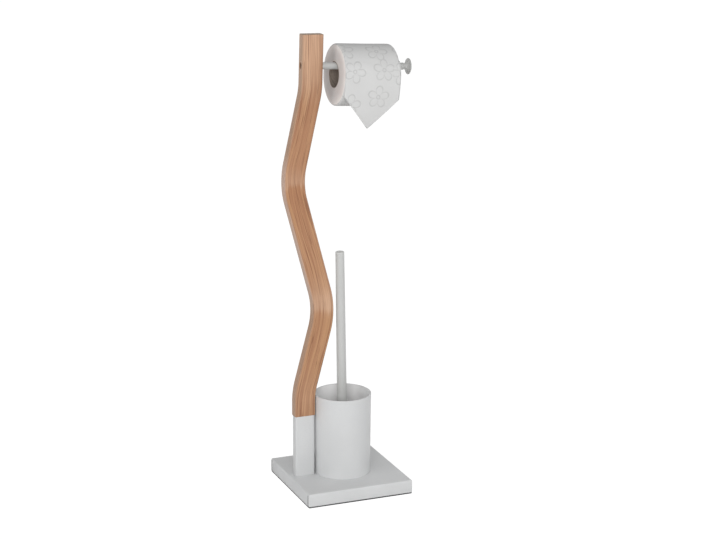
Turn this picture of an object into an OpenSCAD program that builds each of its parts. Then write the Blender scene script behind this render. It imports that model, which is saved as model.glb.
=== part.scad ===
// Toilet butler stand: a bent wooden upright on a weighted square base, with a rod for a
// paper roll near its top and a brush in a round cup on the base.
// Millimetres, +Z up. The origin is the centre of the underside of the anti-slip pad.
// The rod points along +X. The viewer stands on the -Y side.

/* [Base] */
// Side of the square base along X
base_w = 200; // [195:1:240]
// Side of the square base along Y
base_d = 200; // [180:1:240]
// Height of the folded metal cover
base_h = 23; // [18:0.5:40]
// Thickness of the cover's sheet metal
cover_wall = 1.2; // [0.8:0.1:1.8]
// Outside radius of the folds round the top of the cover
cover_fold_r = 3; // [2:0.25:6]
// Outside radius of the cover's upright corners
cover_corner_r = 2.5; // [2:0.25:6]
// How far the front and back flanges return round each corner
corner_return = 5; // [3:0.5:12]
// Width of the open slit behind each return
corner_slit = 0.9; // [0.5:0.1:2]
// Thickness of the steel weight under the cover
ballast_t = 6; // [3:0.5:10]
// Thickness of the anti-slip pad
pad_t = 2.5; // [1.5:0.5:5]
// How far the pad's edge stays inside the cover's edge
pad_inset = 1.5; // [0.5:0.5:8]

/* [Post sleeve] */
// Distance of the post's axis from the base's edge on the -X side
post_inset = 28.2; // [24:0.1:40]
// Distance of the post from the middle of the base, towards +Y
post_y = 1.4; // [-10:0.1:10]
// Width of the metal sleeve along X
sleeve_w = 36.4; // [30:0.2:38]
// Depth of the metal sleeve along Y
sleeve_d = 17; // [15:0.5:18.5]
// Height of the metal sleeve
sleeve_h = 113.5; // [90:0.5:125]
// Wall of the metal sleeve
sleeve_wall = 1.5; // [1:0.1:2]
// Outside corner radius of the metal sleeve
sleeve_r = 3; // [2.2:0.1:5]

/* [Upright] */
// Width of the wooden upright's section along X
wood_w = 39; // [36:0.5:44]
// Depth of the wooden upright's section along Y
wood_d = 19; // [17:0.5:26]
// Rounding of the upright's long edges
wood_edge_r = 3; // [1:0.25:5]
// Chamfer round the upright's two ends
wood_chamfer = 1.2; // [0.5:0.1:2.5]
// Radius of each bend, on the middle line of the wood
bend_r = 140; // [110:5:160]
// Height of the first bend above the floor
bend_1_h = 182; // [175:0.5:190]
// Height of the second bend above the floor
bend_2_h = 333; // [320:0.5:345]
// Distance of the second bend from the post's axis, towards the cup
bend_2_x = 40.2; // [36:0.1:41]
// Height of the third bend above the floor
bend_3_h = 566.5; // [550:0.5:580]
// Distance of the third bend from the post's axis, away from the cup
bend_3_x = 22.4; // [15:0.1:30]
// Distance of the fourth bend below the upright's top end
bend_4_down = 97; // [90:0.5:110]
// Distance of the fourth bend from the post's axis, towards the roll
bend_4_x = 13.9; // [5:0.1:20]
// Height of the upright's top end above the floor
upright_h = 826.5; // [810:0.5:850]
// Distance of the top end from the post's axis, towards the roll
top_x = 16.4; // [8:0.1:22]

/* [Roll rod] */
// Depth of the hole in the upright's outer side, down to the seat of the rod's screw
screw_depth = 7; // [6:0.5:10]
// Distance of the rod below the upright's top end, where it crosses the middle of the upright
rod_down = 54.7; // [40:0.1:65]
// Angle by which the rod hangs below level
rod_droop = 3.4; // [0:0.1:5]
// Outside diameter of the rod
rod_d = 12.5; // [10:0.25:16]
// Wall of the rod's tube
rod_wall = 1.5; // [1:0.1:2]
// Length of the rod's tube
rod_len = 154; // [140:1:180]
// Depth of the flat seat for the rod in the upright
rod_seat = 1.5; // [1:0.1:3]
// Diameter of the end disc
disc_d = 28.6; // [22:0.2:36]
// Thickness of the end disc at its edge
disc_t = 2; // [1.5:0.1:4]
// Diameter of the neck behind the end disc
neck_d = 11; // [9:0.25:12]
// Length of the flared neck
neck_len = 10; // [7:0.5:16]
// Swell of the end disc's outer face at its middle
disc_swell = 0.6; // [0.2:0.1:2]
// Length of the spigots that close the rod's two ends
spigot_len = 12; // [8:0.5:20]

/* [Paper roll] */
// Outside diameter of the paper roll
roll_d = 108.4; // [60:0.2:115]
// Width of the paper roll
roll_w = 103; // [92:0.5:110]
// Rounding of the paper roll's edges
roll_edge_r = 3; // [1:0.25:5]
// Gap between the upright and the paper roll
roll_gap = 24.4; // [8:0.1:30]
// Bore of the cardboard core
core_bore = 44; // [38:0.5:48]
// Wall of the cardboard core
core_wall = 1.2; // [0.6:0.1:2]
// Thickness of the loose paper end
tail_t = 0.6; // [0.4:0.1:1.2]
// Length of the loose end from the front of the roll to its folded point
tail_len = 90; // [70:1:100]
// Length of the loose end's left edge, above its fold
tail_left = 30; // [15:1:45]
// Length of the loose end's right edge, above its fold
tail_right = 35; // [15:1:45]
// Radius of the loose end's curl
tail_curl_r = 250; // [150:5:400]
// Angle over which the loose end still lies on the roll
tail_wrap = 35; // [10:1:80]

/* [Cup] */
// Distance of the cup's axis from the post's axis, along X
cup_pitch = 72.8; // [72:0.1:90]
// Distance of the cup from the middle of the base, towards -Y
cup_front = 4.9; // [0:0.1:20]
// Height of the cup
cup_h = 149.5; // [130:0.5:155]
// Outside diameter of the cup at its rim
cup_rim_d = 103.8; // [98:0.2:104.4]
// Outside diameter of the cup at its foot
cup_foot_d = 99.8; // [90:0.2:102]
// Wall of the cup
cup_wall = 1.6; // [1:0.1:2.5]
// Thickness of the cup's floor
cup_floor = 2; // [1.5:0.1:4]
// Height of the hollow under the cup's floor
cup_recess = 5; // [4.5:0.1:8]
// Radius between the cup's floor and wall, inside
cup_fillet = 6; // [2:0.5:12]
// Thickness of the disc that keeps the cup in place
locator_t = 4; // [3:0.1:4.4]
// Gap between that disc and the cup all round
locator_gap = 1; // [0.5:0.1:2]

/* [Brush] */
// Height of the handle's top above the floor
handle_top_h = 438.5; // [400:0.5:470]
// Distance of the brush's foot from the cup's axis, away from the upright
brush_off = 1.3; // [0:0.1:4]
// Angle by which the brush leans towards the upright
brush_lean = 1; // [0:0.1:1.2]
// Diameter of the handle at its top
handle_top_d = 15.8; // [14:0.2:17]
// Diameter of the handle at its foot
handle_foot_d = 18.2; // [16:0.2:19]
// Wall of the handle's tube
handle_wall = 1.2; // [0.8:0.1:2]
// Rounding of the handle's top edge
handle_edge_r = 1.5; // [0.5:0.1:3]
// Length of the plug in the handle's lower end
plug_len = 22; // [15:1:40]
// Diameter of the threaded stud under the plug
stud_d = 8; // [6:0.5:9]
// Length of the threaded stud
stud_len = 14; // [8:0.5:20]
// Outside diameter of the bristle head
head_d = 72; // [60:0.5:76]
// Height of the straight part of the bristle head
head_straight = 38; // [25:0.5:50]
// Diameter of the head's plastic body
body_d = 21; // [19.5:0.5:26]
// Height of the collar above the bristles
collar_h = 9; // [6:0.5:16]
// How far the flange over the bristles stands out past the head's body
flange_out = 3; // [2:0.5:6]
// Thickness of that flange at its edge
flange_t = 2; // [1:0.5:3]
// Thickness of the skin that the bristles stand on
skin_t = 1.4; // [1:0.1:2]
// Number of bristle tufts
tuft_count = 384; // [300:4:420]
// Width of a tuft at its root
tuft_root_w = 1.9; // [1:0.1:2.2]
// Width of a tuft at its tip
tuft_tip_w = 1.3; // [0.8:0.1:2]

/* [Fasteners] */
// Diameter of the tie bolts and of the rod's screw
bolt_d = 6; // [5:0.5:6]
// Distance between the two tie bolts
bolt_pitch = 17; // [15:0.5:19]
// How far each tie bolt reaches into the wood
bolt_reach = 16; // [12:0.5:22]
// Length of the threaded inserts in the wood
insert_len = 18; // [14:0.5:24]
// Wall of the threaded inserts
insert_wall = 1.4; // [1:0.1:1.6]
// Diameter of the screw that holds the cup's disc
small_screw_d = 5; // [4:0.5:6]
// Thickness of the washers
washer_t = 1.2; // [0.8:0.1:2]

/* [Fits] */
// Clearance round a bolt in its drilled hole, on the radius
hole_gap = 0.5; // [0.2:0.05:1]
// Clearance of a piece pushed into its seat, on the radius
push_gap = 0.05; // [0.02:0.01:0.1]
// Clearance round a threaded shank, on the radius
thread_gap = 0.05; // [0.03:0.01:0.1]
// Gap between a loose piece and what it rests on
rest_gap = 0.3; // [0.2:0.05:0.5]

/* [Hidden] */
$fn = 96;
round_steps = 4;
bend_steps = 8;
fine_steps = 180;
// How far a cutting body runs past the face that it cuts
past = 1;
// The same where a deeper cut would show
just_past = 0.01;

base_top = pad_t + base_h;
cover_inside_h = base_h - cover_wall;
board_t = cover_inside_h - ballast_t;
inside_w = base_w - 2 * (cover_wall + rest_gap);
inside_d = base_d - 2 * (cover_wall + rest_gap);
inside_r = cover_corner_r - cover_wall + rest_gap;

post_x = post_inset - base_w / 2;
wood_foot = base_top + sleeve_h;
bend_4_h = upright_h - bend_4_down;
path_x = [post_x, post_x, post_x + bend_2_x, post_x - bend_3_x, post_x + bend_4_x, post_x + top_x];
path_z = [wood_foot, bend_1_h, bend_2_h, bend_3_h, bend_4_h, upright_h];
last_point = len(path_x) - 1;
// Stations of the upright's sweep from its foot to its top, each a middle point and a lean
stations = concat(
    [[[path_x[0], path_z[0]], run_lean(0)]],
    [for (k = [1:last_point - 1]) each bend_stations(k)],
    [[[path_x[last_point], path_z[last_point]], run_lean(last_point - 1)]]);

bolt_hole_d = bolt_d + 2 * hole_gap;
bolt_head_d = 1.7 * bolt_d;
tall_head_h = bolt_d;
low_head_h = 0.6 * bolt_d;
socket_d = 0.95 * bolt_d;
socket_share = 0.6;
washer_d = 2 * bolt_d;
bolt_well_d = washer_d + 2 * past;
bolt_well_h = tall_head_h + washer_t + past;
bolt_seat_z = pad_t + bolt_well_h;
insert_d = bolt_d + 2 * (thread_gap + insert_wall);
insert_end_room = 8;

rod_h = upright_h - rod_down;
rod_x = post_x + bend_4_x + (top_x - bend_4_x) * (rod_h - bend_4_h) / (upright_h - bend_4_h);
rod_start = wood_w / 2 - rod_seat;
rod_bore = rod_d - 2 * rod_wall;
spigot_d = rod_bore - 2 * push_gap;
screw_seat = wood_w / 2 - screw_depth;
screw_end_room = 2;
rod_washer_d = bolt_head_d + hole_gap;
counterbore_d = bolt_head_d + 2 * hole_gap;
shoulder_w = 0.8;
shoulder_slope = 1.2;
curve_steps = 8;

core_d = core_bore + 2 * core_wall;
roll_start = wood_w / 2 + roll_gap;
roll_drop = core_bore / 2 - rod_d / 2 - rest_gap;
paper_bore_r = core_d / 2 + push_gap;
tail_r = roll_d / 2 + push_gap;
// Outline of the loose paper seen from the front: two straight edges, folded to a point
tail_outline = [[0, roll_d / 2], [0, -hang(tail_left)], [roll_w / 2, -hang(tail_len)],
    [roll_w, -hang(tail_right)], [roll_w, roll_d / 2]];

cup_x = post_x + cup_pitch;
cup_y = -cup_front;
cup_floor_z = base_top + cup_recess + cup_floor;
foot_bevel = 0.4;
locator_d = cup_foot_d - 2 * (cup_wall + locator_gap);
locator_bevel = 1;
small_hole_d = small_screw_d + 2 * hole_gap;
small_head_d = 2 * small_screw_d;
small_head_h = small_screw_d / 2;
head_sink = 0.2;
cross_w = 1;
cross_depth = 1.3;
nut_d = 1.85 * small_screw_d;
nut_t = 0.8 * small_screw_d;
nut_well_d = nut_d + 4;
screw_over = 1;
locator_screw_len = locator_t + cover_wall + nut_t + screw_over;

head_r = head_d / 2;
body_r = body_d / 2;
skin_inner_r = body_r + push_gap;
skin_r = skin_inner_r + skin_t;
// Angle round the head's pole that holds no tufts
pole_angle = 14;
// How far the lowest tips dip below the head's own zero when the brush leans
tip_dip = sin(pole_angle) * (tuft_tip_w / 2 + head_r * sin(brush_lean));
brush_foot_z = cup_floor_z + rest_gap + tip_dip;
dome_z = head_r * cos(pole_angle);
head_top = dome_z + head_straight;
collar_top = head_top + collar_h;
collar_step = 0.8;
collar_r = handle_foot_d / 2 + collar_step;
handle_len = handle_top_h - brush_foot_z - collar_top;
least_edge_r = 0.2;
plug_r = handle_foot_d / 2 - handle_wall - push_gap;
handle_taper = (handle_foot_d - handle_top_d) / 2 / handle_len;

// The tufts stand square to a rod with a domed end, so no two of them can cross. They are
// spread evenly over its skin from the pole up, each turned on from the last by the golden angle.
golden_angle = 180 * (3 - sqrt(5));
tuft_line = head_straight - 2 * tuft_root_w;
dome_share = skin_r * cos(pole_angle) / (skin_r * cos(pole_angle) + tuft_line);
tuft_faces = [[2, 1, 0], [3, 2, 0], [4, 5, 6], [4, 6, 7], [1, 5, 4], [0, 1, 4], [2, 6, 5], [1, 2, 5],
    [3, 7, 6], [2, 3, 6], [0, 4, 7], [3, 0, 7]];

// Points on an arc in the plane, counter-clockwise from angle a to angle b
function arc(x, y, r, a, b, steps) =
    [for (k = [0:steps]) [x + r * cos(a + (b - a) * k / steps), y + r * sin(a + (b - a) * k / steps)]];

// Outline of a rectangle with rounded corners, centred on the origin
function rounded_outline(w, d, r) = concat(
    arc(w / 2 - r, d / 2 - r, r, 0, 90, round_steps),
    arc(r - w / 2, d / 2 - r, r, 90, 180, round_steps),
    arc(r - w / 2, r - d / 2, r, 180, 270, round_steps),
    arc(w / 2 - r, r - d / 2, r, 270, 360, round_steps));

// A box with rounded upright edges, standing on z
module rounded_block(w, d, h, r, z = 0) {
    translate([0, 0, z]) linear_extrude(h) polygon(rounded_outline(w, d, r));
}

// Places its children at both tie bolts
module at_bolts() {
    for (side = [-1, 1]) translate([post_x + side * bolt_pitch / 2, post_y, 0]) children();
}

// Places its children on the rod's axis, which becomes their X axis
module on_rod() {
    translate([rod_x, post_y, rod_h]) rotate([0, rod_droop, 0]) children();
}

// A cylinder along X, from x to x + length
module lengthwise(x, length, d) {
    translate([x, 0, 0]) rotate([0, 90, 0]) cylinder(h = length, d = d);
}

// Places its children at the middle of the cup's seat
module at_cup() {
    translate([cup_x, cup_y, 0]) children();
}

// Places its children on the brush's axis, with z = 0 at the lowest bristle tips
module on_brush() {
    translate([cup_x + brush_off, cup_y, brush_foot_z]) rotate([0, -brush_lean, 0]) children();
}

// Places its children at the left end of the roll, with the roll's axis as their X axis
module on_roll() {
    on_rod() translate([roll_start, 0, -roll_drop]) children();
}

// Solid of the folded cover, shrunk by a wall on every side but the open one, where it runs on below
module cover_form(wall, below) {
    fold = cover_fold_r - wall;
    w = base_w - 2 * wall;
    d = base_d - 2 * wall;
    h = base_h - wall;
    intersection() {
        rotate([90, 0, 0]) translate([0, 0, -d / 2]) linear_extrude(d)
            polygon(cover_section(w, h, fold, below));
        rotate([90, 0, 90]) translate([0, 0, -w / 2]) linear_extrude(w)
            polygon(cover_section(d, h, fold, below));
        rounded_block(w, d, h + below, cover_corner_r - wall, -below);
    }
}

// Section of the cover: a rectangle up from z = -below with its two upper corners rounded
function cover_section(w, h, r, below) = concat([[-w / 2, -below], [w / 2, -below]],
    arc(w / 2 - r, h - r, r, 0, 90, round_steps), arc(r - w / 2, h - r, r, 90, 180, round_steps));

module base_cover() {
    slit_h = base_h - cover_fold_r;
    color("gainsboro") translate([0, 0, pad_t]) difference() {
        cover_form(0, 0);
        cover_form(cover_wall, past);
        for (sx = [-1, 1], sy = [-1, 1])
            translate([sx * (base_w - cover_wall) / 2, sy * (base_d / 2 - corner_return - corner_slit / 2),
                slit_h / 2 - past])
                cube([cover_wall + 2 * past, corner_slit, slit_h + 2 * past], center = true);
        at_bolts() cylinder(h = base_h + past, d = bolt_hole_d);
        at_cup() cylinder(h = base_h + past, d = small_hole_d);
    }
}

module ballast_plate() {
    color("dimgray") difference() {
        rounded_block(inside_w - 2 * cover_fold_r, inside_d - 2 * cover_fold_r, ballast_t, inside_r,
            base_top - cover_wall - ballast_t);
        at_bolts() cylinder(h = base_top, d = bolt_hole_d);
        at_cup() cylinder(h = base_top, d = nut_well_d);
    }
}

module bottom_board() {
    color("burlywood") difference() {
        rounded_block(inside_w, inside_d, board_t, inside_r, pad_t);
        at_bolts() cylinder(h = base_top, d = bolt_hole_d);
        at_bolts() cylinder(h = bolt_seat_z, d = bolt_well_d);
        at_cup() translate([0, 0, base_top - cover_wall - nut_t - screw_over - past])
            cylinder(h = base_top, d = nut_well_d);
    }
}

module anti_slip_pad() {
    color("#2b2b2d") difference() {
        rounded_block(base_w - 2 * pad_inset, base_d - 2 * pad_inset, pad_t, cover_corner_r);
        at_bolts() translate([0, 0, -past]) cylinder(h = pad_t + 2 * past, d = bolt_well_d);
    }
}

module post_sleeve() {
    color("gainsboro") translate([post_x, post_y, base_top]) difference() {
        rounded_block(sleeve_w, sleeve_d, sleeve_h, sleeve_r);
        rounded_block(sleeve_w - 2 * sleeve_wall, sleeve_d - 2 * sleeve_wall,
            sleeve_h + 2 * past, sleeve_r - sleeve_wall, -past);
    }
}

// A bolt with a round head and a hexagon socket: the shank starts at z = 0 and points up
module socket_bolt(length, head_h) {
    difference() {
        union() {
            cylinder(h = length, d = bolt_d);
            translate([0, 0, -head_h]) cylinder(h = head_h, d = bolt_head_d);
        }
        translate([0, 0, -head_h - past])
            cylinder(h = head_h * socket_share + past, d = socket_d, $fn = 6);
    }
}

// A washer standing on z = 0
module washer(outer_d) {
    difference() {
        cylinder(h = washer_t, d = outer_d);
        translate([0, 0, -past]) cylinder(h = washer_t + 2 * past, d = bolt_hole_d);
    }
}

module tie_bolts() {
    head_z = bolt_seat_z - washer_t;
    color("silver") at_bolts() translate([0, 0, head_z])
        socket_bolt(wood_foot + bolt_reach - head_z, tall_head_h);
}

module tie_washers() {
    color("silver") at_bolts() translate([0, 0, bolt_seat_z - washer_t]) washer(washer_d);
}

module wood_inserts() {
    color("goldenrod") at_bolts() translate([0, 0, wood_foot]) difference() {
        cylinder(h = insert_len, d = insert_d);
        translate([0, 0, -past]) cylinder(h = insert_len + 2 * past, d = bolt_d + 2 * thread_gap);
    }
}

// Lean of the k-th straight run of the upright, from the vertical towards +X
function run_lean(k) = atan2(path_x[k + 1] - path_x[k], path_z[k + 1] - path_z[k]);

// Half of the turn at inner point k of the path, positive where the path turns towards +X
function half_turn(k) = (run_lean(k) - run_lean(k - 1)) / 2;

// Length of straight wood that the bend at point k takes from each of its two runs
function bend_take(k) = bend_r * abs(tan(half_turn(k)));

// Direction across the wood in the plane of its bends, for a lean
function across(lean) = [cos(lean), -sin(lean)];

// Middle of the circle that the bend at point k follows
function bend_centre(k) = let (lean = run_lean(k - 1))
    [path_x[k], path_z[k]] - bend_take(k) * [sin(lean), cos(lean)]
        + sign(half_turn(k)) * bend_r * across(lean);

// Stations of the sweep at the bend at point k, each a middle point and a lean
function bend_stations(k) = [for (j = [0:bend_steps])
    let (lean = run_lean(k - 1) + 2 * half_turn(k) * j / bend_steps)
        [bend_centre(k) - sign(half_turn(k)) * bend_r * across(lean), lean]];

// The bent wood: its rounded section swept through the stations
module bent_wood() {
    outline = rounded_outline(wood_w, wood_d, wood_edge_r);
    n = len(outline);
    top = len(stations) - 1;
    polyhedron(
        [for (s = stations) for (p = outline) let (c = s[0] + p[0] * across(s[1])) [c[0], p[1], c[1]]],
        concat([[for (i = [0:n - 1]) i]],
            [for (t = [0:top - 1]) for (i = [0:n - 1])
                let (j = (i + 1) % n) [t * n + i, (t + 1) * n + i, (t + 1) * n + j, t * n + j]],
            [[for (i = [n - 1:-1:0]) top * n + i]]));
}

// Cuts a chamfer round the end of the wood that lies at z = 0, the wood being above it
module end_chamfer() {
    side = wood_chamfer * sqrt(2);
    for (s = [-1, 1]) {
        translate([s * wood_w / 2, 0, 0]) rotate([0, 45, 0]) cube([side, wood_d * 2, side], center = true);
        translate([0, s * wood_d / 2, 0]) rotate([45, 0, 0]) cube([wood_w * 2, side, side], center = true);
    }
}

module wood_upright() {
    color("burlywood") difference() {
        translate([0, post_y, 0]) bent_wood();
        translate([post_x, post_y, wood_foot]) end_chamfer();
        translate([path_x[last_point], post_y, path_z[last_point]])
            rotate([0, 180 + run_lean(last_point - 1), 0]) end_chamfer();
        at_bolts() translate([0, 0, wood_foot - past])
            cylinder(h = insert_len + past, d = insert_d + 2 * push_gap);
        at_bolts() translate([0, 0, wood_foot]) cylinder(h = insert_len + insert_end_room, d = bolt_hole_d);
        on_rod() {
            lengthwise(-wood_w, wood_w * 2, bolt_hole_d);
            lengthwise(-wood_w, wood_w - screw_seat, counterbore_d);
            lengthwise(rod_start, wood_w, rod_d + 2 * rest_gap);
        }
    }
}

module rod_screw() {
    head_x = -screw_seat - washer_t;
    color("silver") on_rod() translate([head_x, 0, 0]) rotate([0, 90, 0])
        socket_bolt(rod_start + spigot_len - screw_end_room - head_x, low_head_h);
}

module rod_washer() {
    color("silver") on_rod() translate([-screw_seat - washer_t, 0, 0]) rotate([0, 90, 0])
        washer(rod_washer_d);
}

module rod_insert() {
    color("silver") on_rod() difference() {
        lengthwise(rod_start, spigot_len, spigot_d);
        lengthwise(rod_start - past, spigot_len + 2 * past, bolt_d + 2 * thread_gap);
    }
}

module roll_rod() {
    color("gainsboro") on_rod() difference() {
        lengthwise(rod_start, rod_len, rod_d);
        lengthwise(rod_start - past, rod_len + 2 * past, rod_bore);
    }
}

// Half section of the knob: a spigot, a waisted neck that flares out, and a thin disc
function knob_section() = let (
    neck_r = neck_d / 2,
    neck_z = shoulder_w + shoulder_slope,
    rim_r = disc_t / 2,
    flare = disc_d / 2 - disc_t - neck_r,
    swell_r = (pow(disc_d / 2 - rim_r, 2) + pow(disc_swell, 2)) / (2 * disc_swell),
    swell_turn = asin((disc_d / 2 - rim_r) / swell_r)) concat(
    [[0, -spigot_len], [spigot_d / 2, -spigot_len], [spigot_d / 2, 0]],
    [[rod_d / 2, 0], [rod_d / 2, shoulder_w]],
    [for (k = [0:curve_steps]) let (t = k / curve_steps)
        [neck_r + flare * pow(t, 3), neck_z + (neck_len - neck_z) * t]],
    arc(disc_d / 2 - rim_r, neck_len + rim_r, rim_r, -90, 90, 2 * round_steps),
    [for (k = [1:round_steps]) let (turn = swell_turn * (1 - k / round_steps))
        [swell_r * sin(turn), neck_len + disc_t + disc_swell - swell_r * (1 - cos(turn))]]);

module rod_knob() {
    color("gainsboro") on_rod() translate([rod_start + rod_len, 0, 0]) rotate([0, 90, 0])
        rotate_extrude() polygon(knob_section());
}

module cup_locator() {
    cone_z = locator_t - head_sink - small_head_h;
    color("white") at_cup() translate([0, 0, base_top]) difference() {
        union() {
            cylinder(h = locator_t - locator_bevel, d = locator_d);
            translate([0, 0, locator_t - locator_bevel])
                cylinder(h = locator_bevel, d1 = locator_d, d2 = locator_d - 2 * locator_bevel);
        }
        translate([0, 0, -past]) cylinder(h = locator_t + 2 * past, d = small_hole_d);
        translate([0, 0, cone_z])
            cylinder(h = small_head_h, d1 = small_screw_d + 2 * push_gap, d2 = small_head_d + 2 * push_gap);
        translate([0, 0, cone_z + small_head_h - just_past])
            cylinder(h = locator_t, d = small_head_d + 2 * push_gap);
    }
}

module locator_screw() {
    color("silver") at_cup() translate([0, 0, base_top + locator_t - head_sink]) difference() {
        union() {
            translate([0, 0, -small_head_h])
                cylinder(h = small_head_h, d1 = small_screw_d, d2 = small_head_d);
            translate([0, 0, head_sink - locator_screw_len])
                cylinder(h = locator_screw_len - head_sink - small_head_h / 2, d = small_screw_d);
        }
        for (turn = [0, 90])
            rotate([0, 0, turn]) cube([small_head_d / 2, cross_w, 2 * cross_depth], center = true);
    }
}

module locator_nut() {
    color("silver") at_cup() translate([0, 0, base_top - cover_wall - nut_t]) difference() {
        cylinder(h = nut_t, d = nut_d, $fn = 6);
        translate([0, 0, -past]) cylinder(h = nut_t + 2 * past, d = small_screw_d + 2 * thread_gap);
    }
}

// Half section of the cup: a drawn wall with a little draft, a rounded rim and a raised floor
function cup_section() = let (
    foot_r = cup_foot_d / 2,
    rim_r = cup_rim_d / 2,
    draft = (rim_r - foot_r) / cup_h,
    floor_top = cup_recess + cup_floor,
    fillet_x = foot_r - cup_wall - cup_fillet + draft * floor_top,
    lip = cup_wall / 2) concat(
    [[0, cup_recess], [foot_r - cup_wall, cup_recess], [foot_r - cup_wall, 0]],
    [[foot_r - foot_bevel, 0], [foot_r, foot_bevel]],
    arc(rim_r - lip, cup_h - lip, lip, 0, 180, 2 * round_steps),
    arc(fillet_x, floor_top + cup_fillet, cup_fillet, 0, -90, 2 * round_steps),
    [[0, floor_top]]);

module brush_cup() {
    color("white") at_cup() translate([0, 0, base_top]) rotate_extrude($fn = fine_steps)
        polygon(cup_section());
}

// Half section of the handle's outside, shrunk by a wall on every side but its open foot
function handle_section(wall) = let (
    foot_r = handle_foot_d / 2 - wall,
    top_r = handle_top_d / 2 - wall,
    edge_r = max(handle_edge_r - wall, least_edge_r),
    top_z = handle_len - wall) concat(
    [[0, 0], [foot_r, 0]], arc(top_r - edge_r, top_z - edge_r, edge_r, 0, 90, round_steps), [[0, top_z]]);

module brush_handle() {
    color("gainsboro") on_brush() translate([0, 0, collar_top]) difference() {
        rotate_extrude() polygon(handle_section(0));
        translate([0, 0, -just_past]) rotate_extrude() polygon(handle_section(handle_wall));
    }
}

module handle_plug() {
    color("silver") on_brush() translate([0, 0, collar_top]) union() {
        cylinder(h = plug_len, r1 = plug_r, r2 = plug_r - handle_taper * plug_len);
        translate([0, 0, -stud_len]) cylinder(h = stud_len + past, d = stud_d);
    }
}

// Half section of the head's plastic body: a domed core, a flange over the bristles and a collar
function core_section() = concat(
    arc(0, dome_z, body_r, -90, 0, 3 * round_steps),
    [[body_r, head_top], [body_r + flange_out, head_top], [body_r + flange_out, head_top + flange_t]],
    [[collar_r, head_top + 2 * flange_t], [collar_r, collar_top - collar_step],
        [collar_r - collar_step, collar_top], [0, collar_top]]);

module brush_core() {
    color("white") on_brush() difference() {
        rotate_extrude() polygon(core_section());
        translate([0, 0, collar_top - stud_len - past])
            cylinder(h = stud_len + 2 * past, d = stud_d + 2 * push_gap);
    }
}

// Polar angle of a tuft from the straight-down axis, for its share of the whole skin
function tuft_polar(share) = share < dome_share ? acos(cos(pole_angle) * (1 - share / dome_share)) : 90;

// Height of a tuft's centre line above the dome's centre, for its share of the whole skin
function tuft_rise(share) = share < dome_share ? 0 : tuft_line * (share - dome_share) / (1 - dome_share);

// The corners of a tuft's square section, of width w, at distance r from the head's middle
function tuft_ring(polar, turn, rise, r, w) = let (
    out = [sin(polar) * cos(turn), sin(polar) * sin(turn), -cos(polar)],
    along = [cos(polar) * cos(turn), cos(polar) * sin(turn), sin(polar)],
    across = [-sin(turn), cos(turn), 0])
    [for (q = [[1, 1], [-1, 1], [-1, -1], [1, -1]])
        r * out + w / 2 * (q[0] * along + q[1] * across) + [0, 0, rise + dome_z]];

function tuft_points(k) = let (
    share = (k + 0.5) / tuft_count,
    polar = tuft_polar(share),
    rise = tuft_rise(share),
    turn = k * golden_angle)
    concat(tuft_ring(polar, turn, rise, skin_r - skin_t / 2, tuft_root_w),
        tuft_ring(polar, turn, rise, head_r, tuft_tip_w));

module tufts() {
    polyhedron([for (k = [0:tuft_count - 1]) each tuft_points(k)],
        [for (k = [0:tuft_count - 1]) for (f = tuft_faces) [for (i = f) i + 8 * k]]);
}

// The skin that the tufts stand on, a thin shell over the head's body
module tuft_skin() {
    rotate_extrude($fn = 32) polygon(concat(
        arc(0, dome_z, skin_r, -90, 0, 2 * round_steps), [[skin_r, head_top - push_gap]],
        [[skin_inner_r, head_top - push_gap]], arc(0, dome_z, skin_inner_r, 0, -90, 2 * round_steps)));
}

module brush_bristles() {
    color("white") on_brush() union() {
        tuft_skin();
        tufts();
    }
}

module cardboard_core() {
    color("tan") on_roll() difference() {
        lengthwise(0, roll_w, core_d);
        lengthwise(-past, roll_w + 2 * past, core_bore);
    }
}

// Half section of the wound paper, with softly rounded outer edges
function roll_section() = concat(
    [[paper_bore_r, 0]],
    arc(roll_d / 2 - roll_edge_r, roll_edge_r, roll_edge_r, -90, 0, round_steps),
    arc(roll_d / 2 - roll_edge_r, roll_w - roll_edge_r, roll_edge_r, 0, 90, round_steps),
    [[paper_bore_r, roll_w]]);

module paper_roll() {
    color("whitesmoke") on_roll() rotate([0, 90, 0]) rotate_extrude($fn = fine_steps)
        polygon(roll_section());
}

// How far a length of the curled paper reaches down
function hang(length) = tail_curl_r * sin(length / tail_curl_r * 180 / PI);

// Section of the loose paper seen from its side: it lies on the roll, then hangs and curls in
function tail_section() = let (
    curl_y = tail_curl_r - tail_r - tail_t,
    curl_turn = (tail_len + roll_edge_r) / tail_curl_r * 180 / PI) concat(
    arc(0, 0, tail_r + tail_t, 180 - tail_wrap, 180, 3 * round_steps),
    arc(curl_y, 0, tail_curl_r, 180 + curl_turn / curve_steps, 180 + curl_turn, curve_steps - 1),
    arc(curl_y, 0, tail_curl_r - tail_t, 180 + curl_turn, 180 + curl_turn / curve_steps, curve_steps - 1),
    arc(0, 0, tail_r, 180, 180 - tail_wrap, 3 * round_steps));

module paper_tail() {
    color("white") on_roll() intersection() {
        rotate([90, 0, 90]) translate([0, 0, -past]) linear_extrude(roll_w + 2 * past)
            polygon(tail_section());
        rotate([90, 0, 0]) linear_extrude(roll_d) polygon(tail_outline);
    }
}

base_cover();
ballast_plate();
bottom_board();
anti_slip_pad();
post_sleeve();
tie_bolts();
tie_washers();
wood_inserts();
wood_upright();
rod_screw();
rod_washer();
rod_insert();
roll_rod();
rod_knob();
cup_locator();
locator_screw();
locator_nut();
brush_cup();
brush_handle();
handle_plug();
brush_core();
brush_bristles();
cardboard_core();
paper_roll();
paper_tail();
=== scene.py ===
"""Dresses the toilet butler stand: its CAD frame gets detailed pieces and finishes."""

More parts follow.
